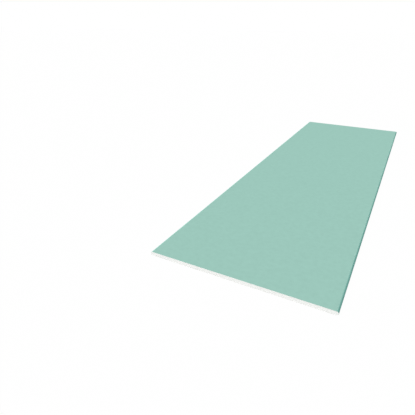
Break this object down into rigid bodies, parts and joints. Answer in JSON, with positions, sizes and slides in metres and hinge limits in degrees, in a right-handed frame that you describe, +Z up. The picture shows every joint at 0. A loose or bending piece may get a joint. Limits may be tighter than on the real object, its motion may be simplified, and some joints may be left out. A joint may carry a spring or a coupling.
{
  "type": "drywall sheet",
  "caption": "Flat rectangular drywall sheet: white gypsum core in green face paper, with rounded long edges and square cut short ends.",
  "frame": {"origin": "centre of the back face, on the floor that the sheet lies on", "axes": "+X across the sheet, +Y along it, +Z up through it: the green face looks up, and the cut end that is nearer in the picture is at -Y"},
  "size_m": [0.6, 2, 0.0125],
  "materials": {
    "gypsum": "matt white foamed gypsum, finely porous where it is cut",
    "face_paper": "smooth matt pale green paper",
    "back_paper": "plain matt warm grey recycled paper"
  },
  "bodies": {
    "root": {"gypsum_core": "gypsum", "face_paper": "face_paper", "back_paper": "back_paper"}
  },
  "joints": []
}
